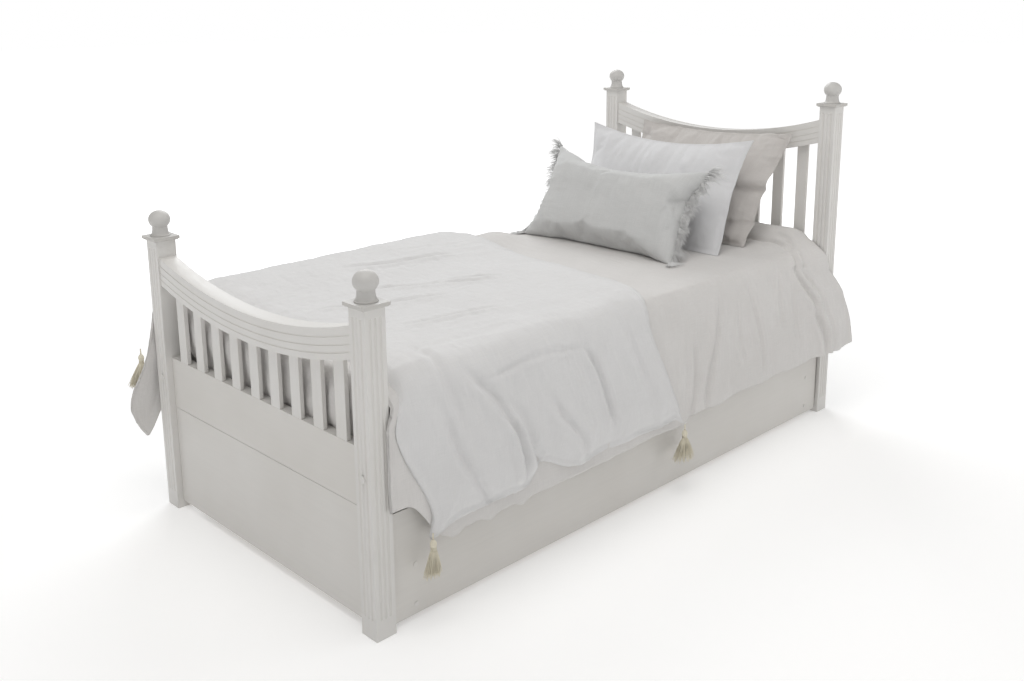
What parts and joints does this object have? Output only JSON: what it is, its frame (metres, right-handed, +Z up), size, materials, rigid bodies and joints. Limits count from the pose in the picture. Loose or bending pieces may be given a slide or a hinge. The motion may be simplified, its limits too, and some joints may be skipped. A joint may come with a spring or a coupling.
{
  "type": "trundle bed",
  "caption": "Single bed with fluted posts, ball finials and sagging slatted ends, made up with coverlet, duvet and pillows, over a rolling trundle with its own mattress.",
  "frame": {"origin": "on the floor under the middle of the bed", "axes": "+X along the bed to the head, +Y across the bed away from the trundle side, +Z up"},
  "size_m": [2.063, 1.122, 1.1835],
  "materials": {
    "white_paint": "satin white paint on wood",
    "bare_pine": "planed, unpainted",
    "zinc_steel": "zinc plated",
    "ticking": "plain woven ticking",
    "beige_linen": "washed linen, fine wrinkles",
    "white_linen": "washed linen, soft",
    "grey_linen": "washed linen, slubbed",
    "cream_cotton": "twisted cotton yarn",
    "caster_tyre": "matte"
  },
  "bodies": {
    "bed": {"foot_near_post": "white_paint", "foot_far_post": "white_paint", "head_near_post": "white_paint", "head_far_post": "white_paint", "foot_near_cap": "white_paint", "foot_far_cap": "white_paint", "head_near_cap": "white_paint", "head_far_cap": "white_paint", "foot_near_finial": "white_paint", "foot_far_finial": "white_paint", "head_near_finial": "white_paint", "head_far_finial": "white_paint", "foot_top_rail": "white_paint", "head_top_rail": "white_paint", "foot_slats": "white_paint", "head_slats": "white_paint", "foot_panel": "white_paint", "head_panel": "white_paint", "near_side_rail": "white_paint", "far_side_rail": "white_paint", "slat_ledges": "bare_pine", "bed_slats": "bare_pine", "rail_bolts": "zinc_steel", "barrel_nuts": "zinc_steel", "bolt_covers": "white_paint", "mattress": "ticking", "coverlet_top": "beige_linen", "coverlet_near_drape": "beige_linen", "coverlet_far_drape": "beige_linen", "duvet_top": "white_linen", "duvet_near_drape": "white_linen", "duvet_far_drape": "white_linen", "front_pillow": "grey_linen", "middle_pillow": "white_linen", "rear_pillow": "beige_linen", "pillow_fringe": "grey_linen", "near_tassels": "cream_cotton", "far_tassels": "cream_cotton"},
    "trundle": {"trundle_front": "white_paint", "trundle_back": "white_paint", "trundle_foot_end": "white_paint", "trundle_head_end": "white_paint", "trundle_ledges": "bare_pine", "trundle_slats": "bare_pine", "trundle_mattress": "ticking", "screw_covers": "white_paint", "caster_plates": "zinc_steel"},
    "near_foot_caster": {"near_foot_fork": "zinc_steel", "near_foot_axle": "zinc_steel"},
    "near_foot_wheel": {"near_foot_wheel": "caster_tyre"},
    "near_head_caster": {"near_head_fork": "zinc_steel", "near_head_axle": "zinc_steel"},
    "near_head_wheel": {"near_head_wheel": "caster_tyre"},
    "far_foot_caster": {"far_foot_fork": "zinc_steel", "far_foot_axle": "zinc_steel"},
    "far_foot_wheel": {"far_foot_wheel": "caster_tyre"},
    "far_head_caster": {"far_head_fork": "zinc_steel", "far_head_axle": "zinc_steel"},
    "far_head_wheel": {"far_head_wheel": "caster_tyre"}
  },
  "joints": [
    {"name": "trundle_slide", "type": "slide", "parent": "bed", "child": "trundle", "axis": [0, -1, 0], "range_m": [0, 0.9], "deforming": ["coverlet_near_drape", "duvet_near_drape", "near_tassels"]},
    {"name": "near_foot_swivel", "type": "hinge", "parent": "trundle", "child": "near_foot_caster", "pos_m": [-0.911, -0.408, 0.0602], "axis": [0, 0, 1], "continuous": true},
    {"name": "near_foot_roll", "type": "hinge", "parent": "near_foot_caster", "child": "near_foot_wheel", "pos_m": [-0.911, -0.426, 0.025], "axis": [1, 0, 0], "continuous": true},
    {"name": "near_head_swivel", "type": "hinge", "parent": "trundle", "child": "near_head_caster", "pos_m": [0.911, -0.408, 0.0602], "axis": [0, 0, 1], "continuous": true},
    {"name": "near_head_roll", "type": "hinge", "parent": "near_head_caster", "child": "near_head_wheel", "pos_m": [0.911, -0.426, 0.025], "axis": [1, 0, 0], "continuous": true},
    {"name": "far_foot_swivel", "type": "hinge", "parent": "trundle", "child": "far_foot_caster", "pos_m": [-0.911, 0.344, 0.0602], "axis": [0, 0, 1], "continuous": true},
    {"name": "far_foot_roll", "type": "hinge", "parent": "far_foot_caster", "child": "far_foot_wheel", "pos_m": [-0.911, 0.326, 0.025], "axis": [1, 0, 0], "continuous": true},
    {"name": "far_head_swivel", "type": "hinge", "parent": "trundle", "child": "far_head_caster", "pos_m": [0.911, 0.344, 0.0602], "axis": [0, 0, 1], "continuous": true},
    {"name": "far_head_roll", "type": "hinge", "parent": "far_head_caster", "child": "far_head_wheel", "pos_m": [0.911, 0.326, 0.025], "axis": [1, 0, 0], "continuous": true}
  ]
}
